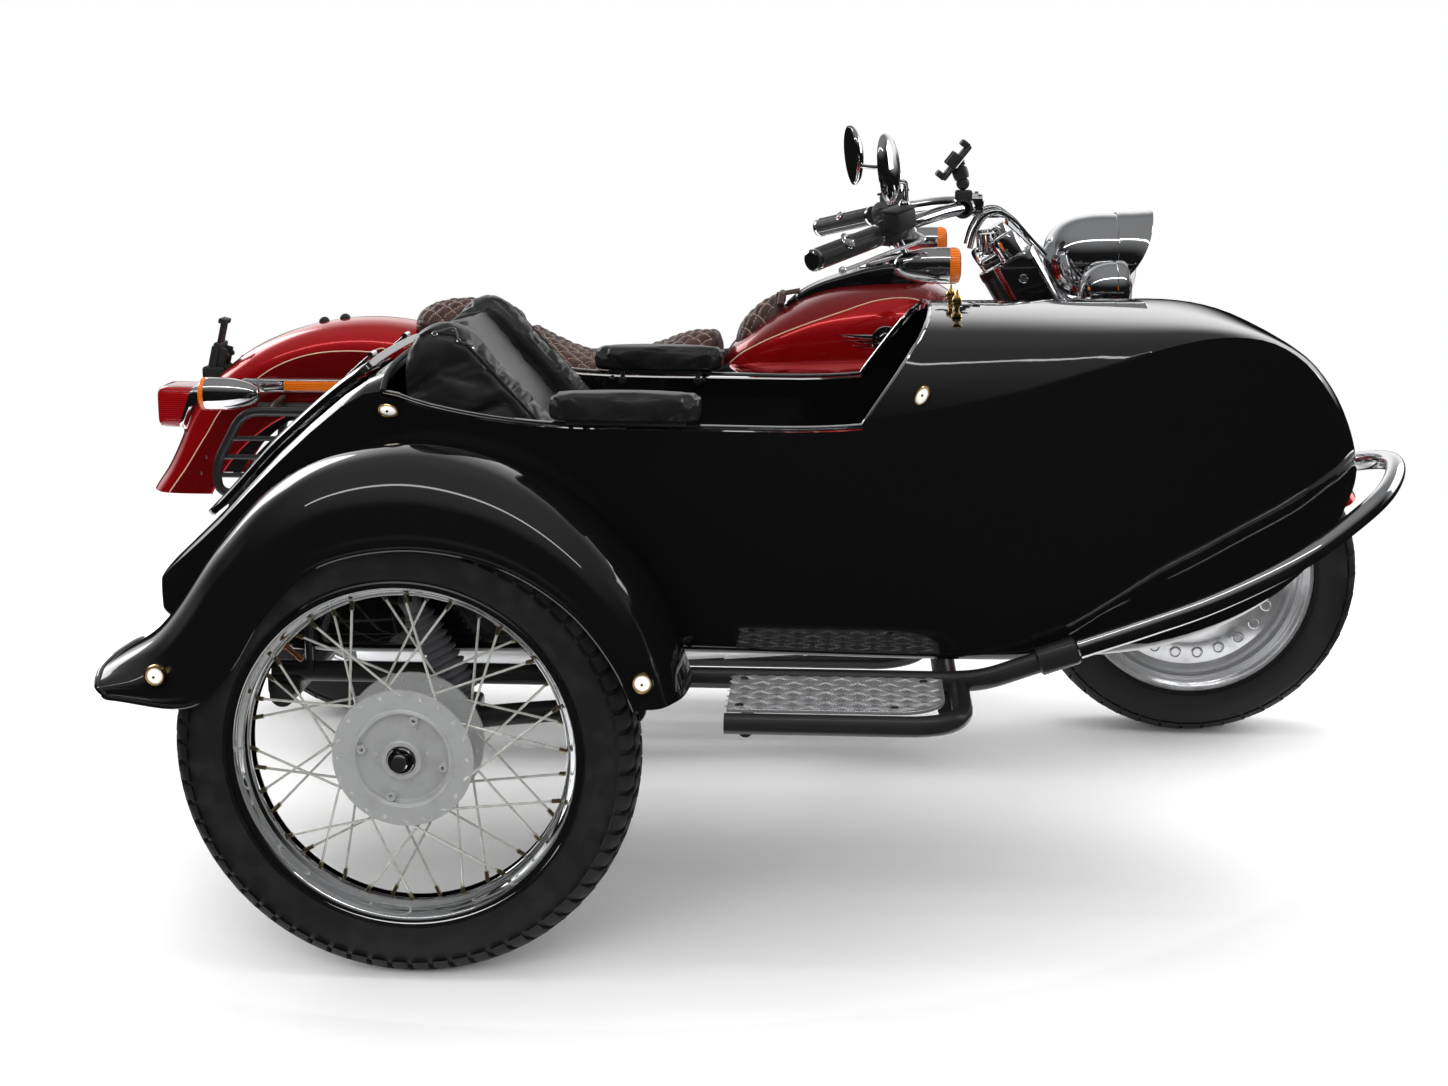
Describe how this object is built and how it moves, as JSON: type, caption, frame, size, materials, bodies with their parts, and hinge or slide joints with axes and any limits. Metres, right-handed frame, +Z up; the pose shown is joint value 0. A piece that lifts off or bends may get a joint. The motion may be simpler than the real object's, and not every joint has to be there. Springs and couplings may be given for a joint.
{
  "type": "motorcycle with sidecar",
  "caption": "Large cruiser motorcycle with a bullet-nosed sidecar: open cockpit, padded seat, wire wheel under a flared fender, step and bright bumper loop.",
  "frame": {"origin": "on the ground under the middle of the whole vehicle's box", "axes": "+X forwards, +Y to the motorcycle's left, away from the sidecar, +Z up"},
  "size_m": [2.3976, 1.7338, 1.1871],
  "materials": {
    "red_paint": "deep candy red under clear gloss",
    "black_paint": "deep black gloss",
    "satin_black": "satin black coating",
    "chrome": "mirror-bright plating",
    "polished_alloy": "polished",
    "cast_alloy": "as cast, satin",
    "tyre_rubber": "matt tread, satin walls",
    "soft_rubber": "satin",
    "brown_leather": "diamond quilted, pale stitching",
    "black_leather": "soft sheen, fine grain",
    "red_lens": "moulded lens",
    "black_plastic": "fine texture",
    "amber_lens": "moulded lens",
    "clear_glass": "clear",
    "mirror_glass": "silvered",
    "brass": "polished",
    "black_felt": "short pile lining"
  },
  "bodies": {
    "chassis": {"air_cleaner": "chrome", "armrest_left": "black_leather", "armrest_right": "black_leather", "bumper_bar": "chrome", "crankcase": "cast_alloy", "exhaust": "chrome", "fender_strut_left": "chrome", "fender_strut_right": "chrome", "footboard_left": "satin_black", "footboard_right": "satin_black", "frame": "satin_black", "front_cylinder": "cast_alloy", "fuel_tank": "red_paint", "guard_left": "satin_black", "guard_right": "satin_black", "oil_tank": "black_paint", "pillion_seat": "brown_leather", "primary_cover": "chrome", "rear_cylinder": "cast_alloy", "rear_fender": "red_paint", "rider_seat": "brown_leather", "sidecar_backrest": "black_leather", "sidecar_body": "black_paint", "sidecar_cushion": "black_leather", "sidecar_fender": "black_paint", "sidecar_frame": "satin_black", "sidecar_seat_box": "satin_black", "sidecar_shock": "soft_rubber", "sidecar_swingarm": "satin_black", "step_plate": "polished_alloy", "swingarm": "satin_black", "tail_lamp": "red_lens", "tank_console": "black_paint", "tank_pad": "brown_leather"},
    "steering": {"front_fork": "chrome", "headlamp": "chrome", "passing_lamps": "chrome", "handlebar": "chrome", "controls_left": "satin_black", "controls_right": "satin_black", "grip_left": "soft_rubber", "grip_right": "soft_rubber", "mirror_left": "chrome", "mirror_right": "chrome", "phone_holder": "black_plastic", "front_fender": "red_paint"},
    "front_wheel": {"front_wheel": "polished_alloy", "front_tyre": "tyre_rubber"},
    "rear_wheel": {"rear_wheel": "polished_alloy", "rear_tyre": "tyre_rubber"},
    "sidecar_wheel": {"sidecar_rim": "chrome", "sidecar_tyre": "tyre_rubber"},
    "boot_lid": {"boot_lid": "black_paint"}
  },
  "joints": [
    {"name": "steering", "type": "hinge", "parent": "chassis", "child": "steering", "pos_m": [0.53502, 0.43408, 0.81505], "axis": [-0.515, 0, 0.8572], "range_deg": [-30, 30]},
    {"name": "front_wheel_spin", "type": "hinge", "parent": "steering", "child": "front_wheel", "pos_m": [0.87775, 0.43408, 0.321], "axis": [0, 1, 0], "continuous": true},
    {"name": "rear_wheel_spin", "type": "hinge", "parent": "chassis", "child": "rear_wheel", "pos_m": [-0.75725, 0.43408, 0.326], "axis": [0, 1, 0], "continuous": true},
    {"name": "sidecar_wheel_spin", "type": "hinge", "parent": "chassis", "child": "sidecar_wheel", "pos_m": [-0.43425, -0.77892, 0.337], "axis": [0, 1, 0], "continuous": true},
    {"name": "boot_lid_hinge", "type": "hinge", "parent": "chassis", "child": "boot_lid", "pos_m": [-0.52525, -0.33592, 0.85414], "axis": [0, 1, 0], "range_deg": [0, 65]}
  ]
}
